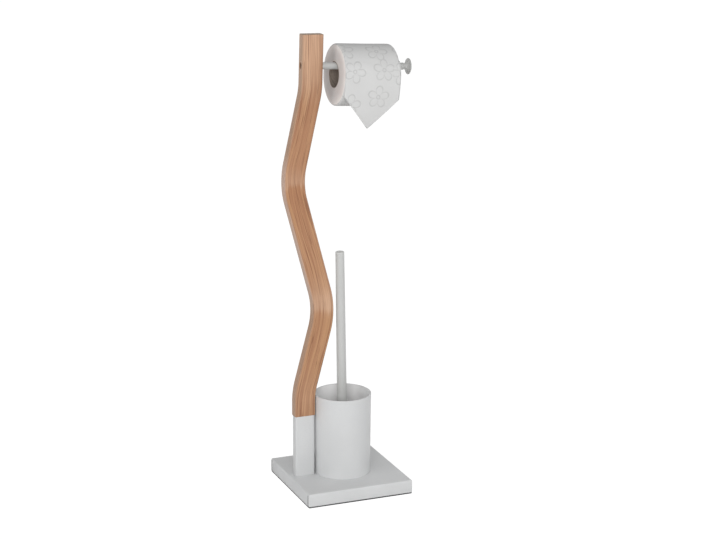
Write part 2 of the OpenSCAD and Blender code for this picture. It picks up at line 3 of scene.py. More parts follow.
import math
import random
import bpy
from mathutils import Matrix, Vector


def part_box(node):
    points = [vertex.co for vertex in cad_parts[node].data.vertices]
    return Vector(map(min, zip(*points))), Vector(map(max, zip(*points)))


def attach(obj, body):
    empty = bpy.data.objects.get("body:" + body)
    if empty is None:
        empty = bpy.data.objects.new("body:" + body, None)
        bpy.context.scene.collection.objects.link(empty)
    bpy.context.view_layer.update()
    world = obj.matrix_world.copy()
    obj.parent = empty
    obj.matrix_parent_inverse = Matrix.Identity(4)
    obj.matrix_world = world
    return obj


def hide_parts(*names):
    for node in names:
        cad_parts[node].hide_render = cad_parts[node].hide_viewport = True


bl_info = {
    "name": "Toilet Butler Stand",
    "version": (1, 0, 0),
    "blender": (4, 5, 0),
    "location": "View3D > Sidebar > Stand",
    "description": "Builds the pieces and finishes of a toilet butler stand over its CAD frame",
    "category": "Add Mesh",
}

import bmesh
import bpy
from bpy.props import FloatProperty, FloatVectorProperty, IntProperty, PointerProperty
from mathutils import Matrix, Vector

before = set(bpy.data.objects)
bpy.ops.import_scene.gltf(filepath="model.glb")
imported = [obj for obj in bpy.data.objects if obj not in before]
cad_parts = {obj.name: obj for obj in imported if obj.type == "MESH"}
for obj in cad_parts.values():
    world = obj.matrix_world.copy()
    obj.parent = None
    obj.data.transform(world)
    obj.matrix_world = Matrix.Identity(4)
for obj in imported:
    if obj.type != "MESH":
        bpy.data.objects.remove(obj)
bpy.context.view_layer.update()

MM = 0.001
FULL_TURN = 2 * math.pi
# Edges that turn by more than this many radians are rims, of a wall or of a block's ends.
RIM_ANGLE = 1.2

# The post's axis, and the middle line of the upright from its foot to its top, with the
# radius of its bends and the length of its straight blank.
POST_X, POST_Y = -71.8 * MM, 1.4 * MM
PATH = [Vector((x * MM, 0, z * MM)) for x, z in (
    (-71.8, 139), (-71.8, 182), (-31.6, 333), (-94.2, 566.5), (-57.9, 729.5), (-55.4, 826.5))]
BEND_R, BLANK_LENGTH = 140 * MM, 701.7 * MM
WOOD_W, WOOD_D = 39 * MM, 19 * MM

# The base: its corner returns, and the holes for the post's two bolts, whose heads lie in
# wells in the pad, and for the screw of the cup's disc.
CORNER_RETURN = 4.4 * MM
BOLT_XS = (POST_X - 8.5 * MM, POST_X + 8.5 * MM)
BOLT_HOLE, SCREW_HOLE, WELL_D = 7 * MM, 6 * MM, 14 * MM

# The rod's axis is local X. The roll hangs on the rod, the brush leans in its cup.
ROD_TILT = math.radians(3.4)
ROD = Matrix.Translation((-56.81 * MM, POST_Y, 771.8 * MM)) @ Matrix.Rotation(ROD_TILT, 4, "Y")
ALONG_X = Matrix.Rotation(math.radians(90), 4, "Y")
ROD_START, ROD_LENGTH, ROD_R = WOOD_W / 2 - 1.5 * MM, 154 * MM, 6.25 * MM
ROLL = ROD @ Matrix.Translation((43.9 * MM, 0, -15.45 * MM))
ROLL_W, ROLL_R = 103 * MM, 54.2 * MM
CUP_X, CUP_Y = 1 * MM, -4.9 * MM
CUP = Matrix.Translation((CUP_X, CUP_Y, 25.5 * MM))
BRUSH = (Matrix.Translation((CUP_X + 1.3 * MM, CUP_Y, 33.109 * MM))
         @ Matrix.Rotation(math.radians(-1), 4, "Y"))
DOME_Z, COLLAR_TOP = 34.931 * MM, 81.931 * MM

# How pale the upright's fibres are painted, by millimetres along the blank from its foot: a
# painted sheen, since they turn to and from the light at its bends.
PAINTED_FIBRE_SHEEN = (
    (0, 0.34), (28, 0.42), (60, 0.34), (100, 0.2), (180, 0.16), (193, 0.24), (204, 0.84),
    (222, 0.8), (246, 0.42), (275, 0.24), (340, 0.2), (420, 0.1), (430, 0.12), (438, 0.66),
    (450, 0.56), (468, 0.26), (500, 0.2), (575, 0.2), (600, 0.42), (622, 0.66), (660, 0.76),
    (701, 0.86))

# The lamps: name, place, size and watts. All of them aim at the middle of the stand.
LAMPS = (
    ("key_left", (-1.2, -2.7, 1.35), (1.6, 1.9), 44),
    ("side_left", (-2.75, -1.0, 1.3), (1.6, 1.9), 16),
    ("key_right", (2.25, -1.9, 1.4), (2.0, 1.9), 20))
LAMP_AIM = Vector((0, 0, 0.4))
# How strongly the surroundings light the stand, the floor's glow where it is seen, and its share.
WORLD_FILL, FLOOR_GLOW, FLOOR_SHARE = 0.36, 1.12, 0.9

# The photograph's camera: its place, and its right, up and backward directions.
CAMERA_PLACE = (-1.2104, -3.0368, 1.2764)
CAMERA_AXES = (
    (0.926, -0.3775, 0.00492), (0.09307, 0.24087, 0.96609), (-0.36588, -0.89413, 0.25817))
CAMERA_SENSOR, CAMERA_LENS = 36, 95.53


def length_setting(name, description, default, low, high):
    """A length for the panel, given here in millimetres."""
    return FloatProperty(
        name=name, description=description, default=default * MM, min=low * MM, max=high * MM,
        unit="LENGTH", subtype="DISTANCE")


def colour_setting(name, description, default):
    """A colour for the panel."""
    return FloatVectorProperty(
        name=name, description=description, default=default, min=0, max=1, subtype="COLOR")


class StandSizes(bpy.types.PropertyGroup):
    fold: length_setting("Cover fold", "Rounding of the folds of the base cover", 2.8, 1, 5)
    sheet_metal: length_setting(
        "Sheet metal", "Thickness of the base cover's sheet metal", 1.2, 0.6, 2)
    slit: length_setting(
        "Corner slit", "Width of the open slit beside each corner of the base", 1.5, 0.4, 2)
    pad_inset: length_setting(
        "Pad inset", "How far the rubber pad stays inside the cover's outline", 0.4, 0, 4)
    edge: length_setting("Wood edge", "Rounding of the upright's long edges", 3, 1, 5)
    roll_edge: length_setting("Roll edge", "Rounding of the paper roll's edges", 4.5, 1, 5)
    paper: length_setting("Loose paper", "Thickness of the loose end of the paper", 0.3, 0.1, 0.6)
    filament: length_setting("Filament", "Thickness of one bristle filament", 0.42, 0.2, 0.8)
    filaments: IntProperty(
        name="Filaments", description="Number of filaments in each tuft", default=8, min=4, max=10)


class StandColours(bpy.types.PropertyGroup):
    paint: colour_setting(
        "Paint", "Colour of the lacquer on base, sleeve and cup", (0.665, 0.672, 0.675))
    handle: colour_setting(
        "Handle paint", "Colour of the lacquer on handle and rod", (0.565, 0.57, 0.56))
    # Pale and deep wood are one wood with and without its painted sheen, where the fibres catch the
    # light
    wood_pale: colour_setting(
        "Pale wood", "Colour of the wood where its fibres catch the light", (0.65, 0.42, 0.283))
    wood_deep: colour_setting(
        "Deep wood", "Colour of the wood where its fibres look darker", (0.46, 0.233, 0.105))
    # The cup's inside is painted paler than its outside: painted light inside the cup
    painted_inside_light: colour_setting("Cup lining", "Colour of the enamel inside the cup", (0.84, 0.84, 0.84))
    paper: colour_setting("Paper", "Colour of the tissue", (0.66, 0.66, 0.655))
    card: colour_setting("Cardboard", "Colour of the roll's core", (0.26, 0.215, 0.18))


class Finish:
    """A material whose nodes are added one call at a time."""

    def __init__(self, name, **constants):
        self.material = bpy.data.materials.new(name)
        self.material.use_nodes = True
        self.tree = self.material.node_tree
        self.shader = self.tree.nodes["Principled BSDF"]
        for key, value in constants.items():
            self.shader.inputs[key.replace("_", " ")].default_value = value

    def put(self, socket, value):
        if isinstance(value, bpy.types.NodeSocket):
            self.tree.links.new(value, socket)
        elif socket.type == "RGBA":
            socket.default_value = (*value, 1)
        else:
            socket.default_value = value

    def set(self, name, value):
        self.put(self.shader.inputs[name], value)

    def node(self, kind, inputs=(), **settings):
        node = self.tree.nodes.new("ShaderNode" + kind)
        for key, value in settings.items():
            setattr(node, key, value)
        for key, value in dict(inputs).items():
            self.put(node.inputs[key], value)
        return node

    def math(self, operation, *values):
        return self.node("Math", enumerate(values), operation=operation).outputs[0]

    def vector(self, operation, *values):
        return self.node("VectorMath", enumerate(values), operation=operation).outputs

    def combine(self, *values):
        return self.node("CombineXYZ", enumerate(values)).outputs[0]

    def split(self, vector):
        return self.node("SeparateXYZ", {0: vector}).outputs[:]

    def object(self):
        return self.node("TexCoord").outputs["Object"]

    def attribute(self, name):
        return self.node("Attribute", attribute_name=name).outputs["Vector"]

    def stretch(self, vector, scale, move=(0, 0, 0)):
        return self.node("Mapping", {
            "Vector": vector, "Scale": scale, "Location": move}).outputs[0]

    def noise(self, vector, scale, detail=2.0, rough=0.5, twist=0.0):
        return self.node("TexNoise", {
            "Vector": vector, "Scale": scale, "Detail": detail, "Roughness": rough,
            "Distortion": twist}).outputs["Fac"]

    def fit(self, value, low, high, to_low=0.0, to_high=1.0, smooth=False):
        node = self.node("MapRange", {
            "Value": value, "From Min": low, "From Max": high, "To Min": to_low, "To Max": to_high})
        node.interpolation_type = "SMOOTHSTEP" if smooth else "LINEAR"
        return node.outputs[0]

    def ramp(self, value, stops):
        node = self.node("ValToRGB", {0: value})
        elements = node.color_ramp.elements
        for stop in stops[2:]:
            elements.new(stop[0])
        for element, (place, colour) in zip(elements, sorted(stops)):
            element.position = place
            rgb = colour if isinstance(colour, tuple) else (colour,) * 3
            element.color = (*rgb, 1)
        return node.outputs[0]

    def mix(self, share, a, b):
        node = self.node("Mix", data_type="RGBA")
        for place, value in ((0, share), (6, a), (7, b)):
            self.put(node.inputs[place], value)
        return node.outputs[2]

    def bump(self, height, depth, strength=1.0, under=None):
        node = self.node("Bump", {"Height": height, "Distance": depth, "Strength": strength})
        if under is not None:
            self.put(node.inputs["Normal"], under)
        return node.outputs[0]


def shade(colour, factor):
    """The colour made darker or paler."""
    return [min(1, c * factor) for c in colour]


def painted(name, colour, rough):
    """Lacquered metal: a fine orange peel, faint clouds in the colour and dull handling marks."""
    f = Finish(name, Roughness=rough, Specular_IOR_Level=0.35)
    place = f.object()
    clouds = f.noise(place, 14, 3)
    specks = f.noise(place, 900, 1)
    cloudy = f.mix(f.fit(clouds, 0.35, 0.65), shade(colour, 0.97), shade(colour, 1.02))
    f.set("Base Color", f.mix(f.fit(specks, 0.62, 0.72), cloudy, shade(colour, 0.93)))
    smudges = f.noise(f.stretch(place, (1, 1, 0.4)), 45, 4, 0.6)
    f.set("Roughness", f.fit(smudges, 0.3, 0.7, rough - 0.05, rough + 0.07))
    f.set("Normal", f.bump(f.noise(place, 650, 2), 0.00006, 0.35))
    return f.material


def plated(name, colour, rough):
    """Bare or plated metal: spangle in its colour, and fine marks in roughness and relief."""
    f = Finish(name, Metallic=1.0)
    place = f.object()
    cells = f.node("TexVoronoi", {"Vector": place, "Scale": 900}).outputs["Color"]
    f.set("Base Color", f.mix(f.split(cells)[0], shade(colour, 0.9), colour))
    lines = f.noise(place, 500, 3)
    f.set("Roughness", f.fit(lines, 0.3, 0.7, rough - 0.08, rough + 0.1))
    f.set("Normal", f.bump(lines, 0.00004, 0.5))
    return f.material


def moulded(name, colour, rough, grain=700, depth=0.00005):
    """Moulded plastic or rubber: a fine even grain and slightly uneven colour."""
    f = Finish(name)
    place = f.object()
    clouds = f.fit(f.noise(place, 30, 3), 0.3, 0.7)
    f.set("Base Color", f.mix(clouds, shade(colour, 0.94), colour))
    fine = f.noise(place, grain, 2)
    f.set("Roughness", f.fit(fine, 0.3, 0.7, rough - 0.05, rough + 0.08))
    f.set("Normal", f.bump(fine, depth, 0.6))
    return f.material


def cast(name):
    """The raw weight: dark mill scale with a few rusty clouds."""
    f = Finish(name, Metallic=0.6)
    place = f.object()
    scale = f.ramp(f.noise(place, 60, 6, 0.7), [
        (0.35, (0.035, 0.036, 0.04)), (0.65, (0.09, 0.085, 0.08))])
    rust = f.fit(f.noise(place, 25, 5), 0.6, 0.7)
    f.set("Base Color", f.mix(rust, scale, (0.16, 0.07, 0.035)))
    f.set("Roughness", f.fit(f.noise(place, 300, 4), 0.3, 0.7, 0.55, 0.8))
    f.set("Normal", f.bump(f.noise(place, 240, 5), 0.0002, 0.6))
    return f.material


def layered_board(name):
    """Black-stained plywood: rotary-cut face grain, and thin layers that show at the edges."""
    f = Finish(name)
    place = f.object()
    face = f.ramp(f.noise(f.stretch(place, (6, 90, 6)), 1, 5, 0.6, 0.6), [
        (0.3, (0.018, 0.015, 0.013)), (0.7, (0.035, 0.03, 0.026))])
    layers = f.math("PINGPONG", f.split(place)[2], 1.3 * MM)
    joint = f.fit(layers, 0.2 * MM, 0.8 * MM, 0.45, 0.0)
    f.set("Base Color", f.mix(joint, face, (0.01, 0.009, 0.008)))
    f.set("Roughness", f.fit(f.noise(place, 200, 3), 0.3, 0.7, 0.6, 0.8))
    f.set("Normal", f.bump(f.noise(f.stretch(place, (60, 900, 60)), 1, 3), 0.0001, 0.5))
    return f.material


def bent_ash(name, colours):
    """Oiled wood that reads the straight blank's coordinates, so its grain follows the bends."""
    f = Finish(name, Specular_IOR_Level=0.4)
    grain = f.attribute("grain")
    across, depth, along = f.split(grain)
    wander = f.noise(f.stretch(grain, (18, 18, 5)), 1, 2)
    sway = f.math("MULTIPLY", f.math("SUBTRACT", wander, 0.5), 16 * MM)
    swayed = f.combine(f.math("ADD", across, sway), depth, along)
    streaks = f.noise(f.stretch(swayed, (150, 90, 3.2)), 1, 5, 0.62, 0.25)
    veins = f.noise(f.stretch(swayed, (420, 260, 7)), 1, 3, 0.55)
    lines = f.noise(f.stretch(swayed, (230, 120, 4.2), (3.1, 1.7, 0.4)), 1, 2, 0.5, 0.15)
    pores = f.noise(f.stretch(swayed, (2100, 1500, 55)), 1, 2)
    ragged = f.math("ADD", along, f.math("MULTIPLY", f.math("SUBTRACT", streaks, 0.5), 50 * MM))
    # A painted sheen: the wood is painted paler where its fibres turn to the light at the bends
    glow = f.ramp(f.math("DIVIDE", ragged, BLANK_LENGTH), [
        (stop * MM / BLANK_LENGTH, level) for stop, level in PAINTED_FIBRE_SHEEN])
    body = f.mix(glow, colours.wood_deep, colours.wood_pale)
    dark = f.mix(glow, (0.34, 0.145, 0.07), (0.42, 0.235, 0.145))
    body = f.mix(f.fit(streaks, 0.36, 0.6, 0.75, 0.0, True), body, dark)
    body = f.mix(f.fit(veins, 0.5, 0.66, 0.0, 0.5, True), body, dark)
    near = f.math("ABSOLUTE", f.math("SUBTRACT", lines, 0.5))
    deepest = f.mix(glow, (0.2, 0.075, 0.035), (0.3, 0.15, 0.085))
    body = f.mix(f.fit(near, 0.004, 0.03, 0.72, 0.0, True), body, deepest)
    body = f.mix(f.fit(pores, 0.6, 0.74, 0.0, 0.35), body, (0.2, 0.11, 0.07))
    # The long edges and the narrow side faces are painted greyer than the broad face: a painted
    # sheen on the rounded edges and painted light on the side faces, paler along the middle of the
    # blank
    rim = f.fit(f.math("ABSOLUTE", across), 16.8 * MM, 19.2 * MM, 0, 0.45, True)
    side = f.ramp(f.math("DIVIDE", along, BLANK_LENGTH), [
        (0.30, (0.40, 0.29, 0.22)), (0.36, (0.66, 0.53, 0.46)), (0.66, (0.66, 0.53, 0.46)),
        (0.70, (0.40, 0.29, 0.21))])
    body = f.mix(rim, body, side)
    # The end grain at the foot and the tip
    foot = f.fit(along, 0.6 * MM, 0.0, 0.0, 0.6)
    tip = f.fit(along, BLANK_LENGTH - 0.8 * MM, BLANK_LENGTH - 0.1 * MM, 0.0, 0.75)
    rings = f.noise(f.stretch(grain, (60, 700, 1)), 1, 3)
    end = f.ramp(rings, [(0.35, (0.11, 0.075, 0.045)), (0.65, (0.26, 0.185, 0.115))])
    f.set("Base Color", f.mix(f.math("MAXIMUM", foot, tip), body, end))
    f.set("Roughness", f.fit(streaks, 0.3, 0.7, 0.42, 0.56))
    relief = f.math("ADD", f.math("MULTIPLY", pores, -0.7), f.math("MULTIPLY", veins, 0.3))
    f.set("Normal", f.bump(relief, 0.00012, 0.6))
    return f.material


def petals(f, flat):
    """Mask of flower outlines on a sheet laid out flat: one five-petalled flower in each cell."""
    u, v = f.split(flat)[:2]
    flat = f.combine(u, v)
    cell = f.node("TexVoronoi", {"Vector": flat, "Scale": 19.5, "Randomness": 0.4},
                  voronoi_dimensions="2D")
    away = f.vector("SUBTRACT", flat, cell.outputs["Position"])[0]
    dx, dy = f.split(away)[:2]
    reach = f.vector("LENGTH", away)["Value"]
    start = f.math("MULTIPLY", f.split(cell.outputs["Color"])[0], 6)
    turned = f.math("ADD", f.math("ARCTAN2", dy, dx), start)
    wave = f.math("ABSOLUTE", f.math("COSINE", f.math("MULTIPLY", turned, 5 / 2)))
    outline = f.math("ADD", f.math("MULTIPLY", f.math("POWER", wave, 0.5), 15.2 * MM), 4.2 * MM)

    def drawn(radius, inner, outer):
        gap = f.math("ABSOLUTE", f.math("SUBTRACT", reach, radius))
        return f.fit(gap, inner, outer, 1, 0, True)

    return f.math("MAXIMUM", drawn(outline, 0.5 * MM, 1.9 * MM),
                  drawn(3 * MM, 0.4 * MM, 1.4 * MM))


def tissue(name, colour):
    """Soft embossed paper that reads the sheet's flat layout, so its pattern wraps the roll."""
    f = Finish(name, Roughness=0.95, Specular_IOR_Level=0.15)
    flat = f.node("UVMap", uv_map="flat").outputs[0]
    mask = petals(f, flat)
    clouds = f.noise(f.object(), 22, 3)
    base = f.mix(f.fit(clouds, 0.3, 0.7), shade(colour, 0.965), colour)
    fibre = f.noise(f.stretch(flat, (1, 2.2, 1)), 1400, 3, 0.6)
    base = f.mix(f.fit(fibre, 0.4, 0.75, 0.0, 0.12), base, shade(colour, 0.8))
    # The embossed outlines are also painted darker, a painted shade in their grooves
    f.set("Base Color", f.mix(f.math("MULTIPLY", mask, 0.44), base, shade(colour, 0.68)))
    dents = f.node("TexVoronoi", {"Vector": flat, "Scale": 620}, voronoi_dimensions="2D")
    relief = f.math("ADD", f.math("MULTIPLY", fibre, 0.6),
                    f.math("MULTIPLY", dents.outputs["Distance"], 0.4))
    soft = f.bump(relief, 0.00012, 0.35)
    f.set("Normal", f.bump(f.math("SUBTRACT", 1, mask), 0.0004, 0.7, soft))
    return f.material


def wound_ends(name, colour):
    """The roll's flat ends: the edges of its layers, read in the roll's own coordinates."""
    f = Finish(name, Roughness=0.97, Specular_IOR_Level=0.1)
    local = f.attribute("local")
    y, z = f.split(local)[1:]
    radius = f.math("SQRT", f.math("ADD", f.math("MULTIPLY", y, y), f.math("MULTIPLY", z, z)))
    turn = f.math("MULTIPLY", f.math("ARCTAN2", z, y), 0.35 * MM / FULL_TURN)
    spiral = f.math("ADD", radius, turn)
    ragged = f.noise(f.combine(f.math("MULTIPLY", spiral, 2600)), 1, 3, 0.6)
    bands = f.noise(f.combine(f.math("MULTIPLY", spiral, 420)), 1, 2)
    warm = [c * t for c, t in zip(colour, (1.06, 0.99, 0.97))]
    base = f.mix(f.fit(ragged, 0.35, 0.65), shade(warm, 0.86), shade(colour, 1.14))
    base = f.mix(f.fit(bands, 0.35, 0.65, 0.0, 0.75), base, shade(warm, 0.88))
    near_core = f.fit(radius, 23.5 * MM, 29 * MM, 0.35, 0.0, True)
    base = f.mix(near_core, base, (0.6, 0.53, 0.48))
    near_rim = f.fit(radius, 34 * MM, 52 * MM, 0.0, 0.7, True)
    base = f.mix(near_rim, base, (0.94, 0.9, 0.88))
    clouds = f.fit(f.noise(local, 60, 3), 0.4, 0.7, 0.0, 0.35)
    f.set("Base Color", f.mix(clouds, base, (0.68, 0.6, 0.58)))
    relief = f.math("ADD", ragged, f.math("MULTIPLY", bands, 1.5))
    f.set("Normal", f.bump(relief, 0.0003, 0.6))
    return f.material


def core_card(name, colour):
    """Spiral-wound grey board: fibres, and the dark joint of its winding."""
    f = Finish(name, Roughness=0.9, Specular_IOR_Level=0.2)
    place = f.attribute("local")
    x, y, z = f.split(place)
    strip = 45 * MM
    turn = f.math("MULTIPLY", f.math("ARCTAN2", z, y), strip / FULL_TURN)
    joint = f.math("PINGPONG", f.math("ADD", x, turn), strip / 2)
    fibres = f.noise(f.stretch(place, (900, 400, 400)), 1, 4, 0.65)
    base = f.mix(f.fit(fibres, 0.3, 0.7), shade(colour, 0.75), shade(colour, 1.2))
    dark = f.fit(joint, 0.2 * MM, 0.9 * MM, 0.7, 0.0)
    f.set("Base Color", f.mix(dark, base, shade(colour, 0.5)))
    f.set("Normal", f.bump(fibres, 0.0001, 0.5))
    return f.material


def nylon(name):
    """Bristle filaments, a little cloudy, each tuft a shade of its own."""
    f = Finish(name, Roughness=0.42, Subsurface_Weight=0.15, Subsurface_Scale=0.002)
    tuft = f.node("Attribute", attribute_name="tuft").outputs["Fac"]
    tone = f.mix(tuft, (0.66, 0.67, 0.68), (0.8, 0.8, 0.79))
    place = f.object()
    clouds = f.fit(f.noise(place, 120, 3), 0.4, 0.7, 0, 0.3)
    f.set("Base Color", f.mix(clouds, tone, (0.62, 0.61, 0.58)))
    f.set("Normal", f.bump(f.noise(place, 1600, 1), 0.00004, 0.4))
    return f.material


def add_object(name, bm):
    """Turns a finished bmesh into an object of the scene."""
    mesh = bpy.data.meshes.new(name)
    bm.to_mesh(mesh)
    bm.free()
    made = bpy.data.objects.new(name, mesh)
    bpy.context.scene.collection.objects.link(made)
    return made


def dress(name, bm, node, body, slot, *materials):
    """Makes a piece of a finished bmesh, in place of a CAD node and riding on its body."""
    piece = add_object(name, bm)
    piece.data.shade_smooth()
    for material in materials:
        piece.data.materials.append(material)
    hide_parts(node)
    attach(piece, body)
    return piece


def soften_edges(piece, degrees=35):
    """Keeps edges sharper than this angle crisp in a smooth-shaded piece."""
    bm = bmesh.new()
    bm.from_mesh(piece.data)
    for edge in bm.edges:
        edge.smooth = (len(edge.link_faces) == 2
                       and edge.calc_face_angle() < math.radians(degrees))
    bm.to_mesh(piece.data)
    bm.free()


def block(centre, size):
    """A box as a new bmesh."""
    bm = bmesh.new()
    place = Matrix.Translation(centre) @ Matrix.Diagonal((*size, 1))
    bmesh.ops.create_cube(bm, size=1, matrix=place)
    return bm


def standing(bm):
    """The upright edges of a box."""
    return [e for e in bm.edges if abs(e.verts[0].co.z - e.verts[1].co.z) > MM]


def rims(bm):
    """The sharp edges round the ends of a block, or round the cut edges of a wall."""
    return [e for e in bm.edges if len(e.link_faces) == 2 and e.calc_face_angle() > RIM_ANGLE]


def round_edges(bm, edges, radius, segments):
    bmesh.ops.bevel(bm, geom=edges, offset=radius, offset_type="OFFSET", segments=segments,
                    profile=0.5, affect="EDGES", material=-1)


def score(bm, at, across):
    """Divides all faces along a plane."""
    bmesh.ops.bisect_plane(bm, geom=bm.verts[:] + bm.edges[:] + bm.faces[:],
                           plane_co=at, plane_no=across)


def lathe(outline, steps, rounds=(), closed=True, place=None):
    """Spins a half section of (radius, height) points round Z. Each of rounds is a point's number,
    its rounding radius and the rounding's segments."""
    bm = bmesh.new()
    corners = [bm.verts.new((r, 0, z)) for r, z in outline]
    loop = list(zip(corners, corners[1:] + corners[:1]))
    for pair in loop if closed else loop[:-1]:
        bm.edges.new(pair)
    for number, radius, segments in rounds:
        vert = corners[number]
        a, b = (e.other_vert(vert).co - vert.co for e in vert.link_edges)
        offset = radius / math.tan(a.angle(b) / 2)
        bmesh.ops.bevel(bm, geom=[vert], offset=offset, offset_type="OFFSET", segments=segments,
                        profile=0.5, affect="VERTICES", material=-1)
    bmesh.ops.spin(bm, geom=bm.verts[:] + bm.edges[:], cent=(0, 0, 0), axis=(0, 0, 1),
                   angle=FULL_TURN, steps=steps, use_merge=True)
    bmesh.ops.remove_doubles(bm, verts=bm.verts, dist=1e-7)
    bmesh.ops.recalc_face_normals(bm, faces=bm.faces)
    if place is not None:
        bmesh.ops.transform(bm, matrix=place, verts=bm.verts)
    return bm


def drill(start, length, diameter, place, steps=48):
    """A cylinder for cutting, along the place's local Z."""
    radius, end = diameter / 2, start + length
    return lathe([(0, start), (radius, start), (radius, end), (0, end)], steps,
                 closed=False, place=place)


def carve(piece, *tools):
    """Cuts the tools, given as bmeshes, out of a piece, and removes them."""
    cutters = [add_object("cutter", bm) for bm in tools]
    for cutter in cutters:
        cut = piece.modifiers.new("Cut", "BOOLEAN")
        cut.operation, cut.solver, cut.object = "DIFFERENCE", "EXACT", cutter
    graph = bpy.context.evaluated_depsgraph_get()
    done = bpy.data.meshes.new_from_object(piece.evaluated_get(graph))
    if not done.polygons:
        raise RuntimeError(piece.name + " has nothing left after its holes were cut")
    piece.modifiers.clear()
    old, piece.data = piece.data, done
    done.name = piece.name
    bpy.data.meshes.remove(old)
    for cutter in cutters:
        bpy.data.meshes.remove(cutter.data)


class STAND_OT_base(bpy.types.Operator):
    """Fold the base cover out of sheet metal"""
    bl_idname = "stand.base"
    bl_label = "Base Cover"

    def execute(self, context):
        sizes, colours = context.scene.stand_sizes, context.scene.stand_colours
        low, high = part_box("base_cover")
        middle, size = (low + high) / 2, high - low
        bm = block(middle, size)
        folds = [e for e in bm.edges if max(v.co.z for v in e.verts) > middle.z]
        round_edges(bm, folds, sizes.fold, 6)
        floor = [f for f in bm.faces if f.calc_center_median().z < low.z + 0.01 * MM]
        bmesh.ops.delete(bm, geom=floor, context="FACES_ONLY")
        slit_top = high.z - sizes.fold
        inner = size.y / 2 - CORNER_RETURN - sizes.slit
        outer = inner + sizes.slit
        for y in (-outer, -inner, inner, outer):
            score(bm, (0, y, 0), (0, 1, 0))
        bm.normal_update()
        gaps = [f for f in bm.faces
                if abs(f.normal.x) > 0.99 and inner < abs(f.calc_center_median().y) < outer
                and f.calc_center_median().z < slit_top]
        bmesh.ops.delete(bm, geom=gaps, context="FACES_ONLY")
        bmesh.ops.recalc_face_normals(bm, faces=bm.faces)
        if sum(f.normal.z * f.calc_area() for f in bm.faces) < 0:
            bmesh.ops.reverse_faces(bm, faces=bm.faces)
        bmesh.ops.solidify(bm, geom=bm.faces[:], thickness=sizes.sheet_metal)
        round_edges(bm, rims(bm), 0.25 * MM, 2)
        # The inside and the slits' cut edges are painted near black: a painted shade that darkens
        # the slits
        bm.normal_update()
        for face in bm.faces:
            spot, out = face.calc_center_median(), face.normal
            at = spot - middle
            in_slit = (abs(at.x) > size.x / 2 - 2 * MM and spot.z < slit_top
                       and inner - 0.3 * MM < abs(at.y) < outer + 0.3 * MM and abs(out.x) < 0.96)
            inward = at.x * out.x + at.y * out.y < -0.05 and abs(out.z) < 0.9
            face.material_index = int(in_slit or inward or out.z < -0.9)
        cover = dress("base_cover_folded", bm, "base_cover", "stand", "base_paint",
                      painted("base lacquer", colours.paint, 0.46),
                      moulded("slit painted shade", (0.03, 0.031, 0.033), 0.7))
        holes = [(x, POST_Y, BOLT_HOLE) for x in BOLT_XS] + [(CUP_X, CUP_Y, SCREW_HOLE)]
        carve(cover, *[drill(0, 50 * MM, d, Matrix.Translation((x, y, 0))) for x, y, d in holes])
        soften_edges(cover)
        return {"FINISHED"}


class STAND_OT_pad(bpy.types.Operator):
    """Mould the rubber pad under the base"""
    bl_idname = "stand.pad"
    bl_label = "Rubber Pad"

    def execute(self, context):
        low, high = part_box("base_cover")
        inset = context.scene.stand_sizes.pad_inset
        centre = ((low.x + high.x) / 2, (low.y + high.y) / 2, low.z / 2)
        bm = block(centre, (high.x - low.x - 2 * inset, high.y - low.y - 2 * inset, low.z))
        round_edges(bm, standing(bm), 2.5 * MM, 6)
        round_edges(bm, rims(bm), 0.4 * MM, 3)
        pad = dress("anti_slip_pad_moulded", bm, "anti_slip_pad", "stand", "pad_rubber",
                    moulded("pad rubber", (0.035, 0.035, 0.038), 0.8, 420, 0.0002))
        carve(pad, *[drill(-10 * MM, 20 * MM, WELL_D, Matrix.Translation((x, POST_Y, 0)))
                     for x in BOLT_XS])
        soften_edges(pad)
        return {"FINISHED"}


class STAND_OT_sleeve(bpy.types.Operator):
    """Form the metal sleeve that carries the upright"""
    bl_idname = "stand.sleeve"
    bl_label = "Post Sleeve"

    def execute(self, context):
        low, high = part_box("post_sleeve")
        bm = block((low + high) / 2, high - low)
        round_edges(bm, standing(bm), 3 * MM, 7)
        ends = [f for f in bm.faces if abs(f.normal.z) > 0.9]
        bmesh.ops.delete(bm, geom=ends, context="FACES_ONLY")
        bmesh.ops.solidify(bm, geom=bm.faces[:], thickness=1.5 * MM)
        round_edges(bm, rims(bm), 0.3 * MM, 2)
        sleeve = dress("post_sleeve_tube", bm, "post_sleeve", "stand", "sleeve_paint",
                       painted("sleeve lacquer", context.scene.stand_colours.paint, 0.44))
        soften_edges(sleeve)
        return {"FINISHED"}


def ahead(lean):
    """The direction along a run that leans to the right by this angle."""
    return Vector((math.sin(lean), 0, math.cos(lean)))


def aside(lean):
    """The direction across such a run, to the right."""
    return Vector((math.cos(lean), 0, -math.sin(lean)))


def bend_blank():
    """The upright's middle line as (start, first point, lean, turn) of its runs and bends, and its
    length."""
    leans = [math.atan2(b.x - a.x, b.z - a.z) for a, b in zip(PATH, PATH[1:])]
    takes = [0] + [BEND_R * abs(math.tan((b - a) / 2)) for a, b in zip(leans, leans[1:])] + [0]
    parts, at = [], 0
    for k, lean in enumerate(leans):
        run = (PATH[k + 1] - PATH[k]).length - takes[k] - takes[k + 1]
        first = PATH[k] + ahead(lean) * takes[k]
        parts.append((at, first, lean, 0))
        at += run
        if k + 1 < len(leans):
            turn = leans[k + 1] - lean
            parts.append((at, first + ahead(lean) * run, lean, math.copysign(1, turn)))
            at += BEND_R * abs(turn)
    return parts, at


def bent_point(parts, point):
    """Where a point of the straight blank (across, depth, along) lies once the blank is bent."""
    at, first, lean, side = [p for p in parts if p[0] <= max(point.z, 0)][-1]
    turned = lean + side * (point.z - at) / BEND_R
    if side:
        centre = first + aside(lean) * side * BEND_R
        middle = centre - aside(turned) * side * BEND_R
    else:
        middle = first + ahead(lean) * (point.z - at)
    return middle + aside(turned) * point.x + Vector((0, POST_Y + point.y, 0))


